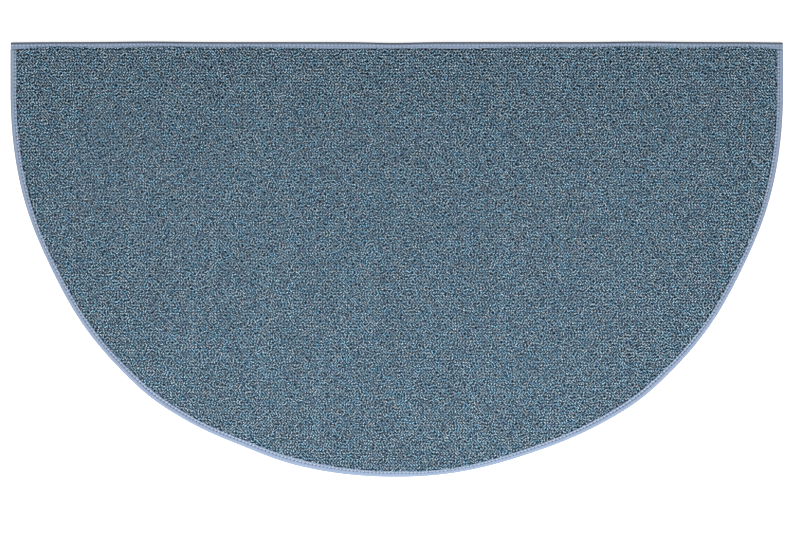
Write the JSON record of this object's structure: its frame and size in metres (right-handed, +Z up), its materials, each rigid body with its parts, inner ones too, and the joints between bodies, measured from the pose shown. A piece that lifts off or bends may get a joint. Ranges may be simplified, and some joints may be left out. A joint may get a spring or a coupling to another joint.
{
  "type": "half round hearth rug",
  "caption": "Flat half round rug with looped pile, its cut edge bound in folded cotton tape.",
  "frame": {"origin": "on the floor, under the middle of the rug's box", "axes": "+X along the straight edge, +Y from the curve towards the straight edge, +Z up, pile side up"},
  "size_m": [1.2192, 0.6857, 0.009],
  "materials": {
    "pile": "twisted loop pile in a heather of slate blue, grey, navy and sky blue, matte",
    "tape": "woven cotton tape in pale blue, matte, sewn down in thread of its own colour"
  },
  "bodies": {
    "root": {"rug_field": "pile", "binding_curve": "tape", "binding_straight": "tape"}
  },
  "joints": []
}
